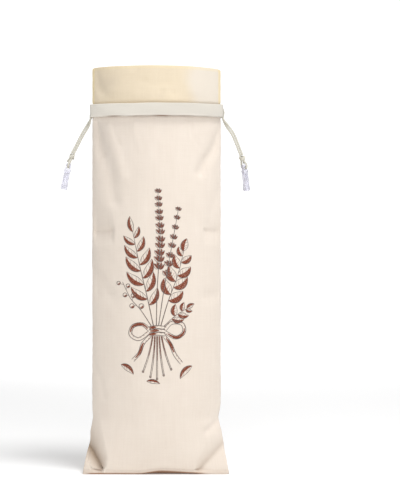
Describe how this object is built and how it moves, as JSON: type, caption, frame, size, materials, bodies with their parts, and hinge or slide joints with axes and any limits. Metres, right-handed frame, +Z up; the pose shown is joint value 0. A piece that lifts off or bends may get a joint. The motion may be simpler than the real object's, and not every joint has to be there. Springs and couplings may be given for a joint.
{
  "type": "bread bag",
  "caption": "Tall open drawstring bag in natural cotton with a cream cuff, a taped neck channel and knotted cord ends with clear pulls.",
  "frame": {"origin": "on the floor under the middle of the standing bag", "axes": "+Z up to the mouth, -Y out of the front face with the sewn bottom edge, +X to the right of the front"},
  "size_m": [0.2616, 0.0888, 0.556],
  "materials": {
    "natural_cotton": "matt plain-woven unbleached cotton",
    "cream_cotton": "matt plain-woven cream cotton",
    "tape_cotton": "matt off-white cotton tape",
    "drawstring_cotton": "matt twisted cotton cord",
    "clear_plastic": "clear moulded plastic"
  },
  "bodies": {
    "root": {"bag_body": "natural_cotton", "collar": "cream_cotton", "casing_front": "tape_cotton", "casing_back": "tape_cotton", "drawstring_left": "drawstring_cotton", "drawstring_right": "drawstring_cotton", "strand_left_front": "drawstring_cotton", "strand_left_back": "drawstring_cotton", "strand_right_front": "drawstring_cotton", "strand_right_back": "drawstring_cotton", "knot_left": "drawstring_cotton", "knot_right": "drawstring_cotton", "pull_left": "clear_plastic", "pull_right": "clear_plastic"}
  },
  "joints": []
}
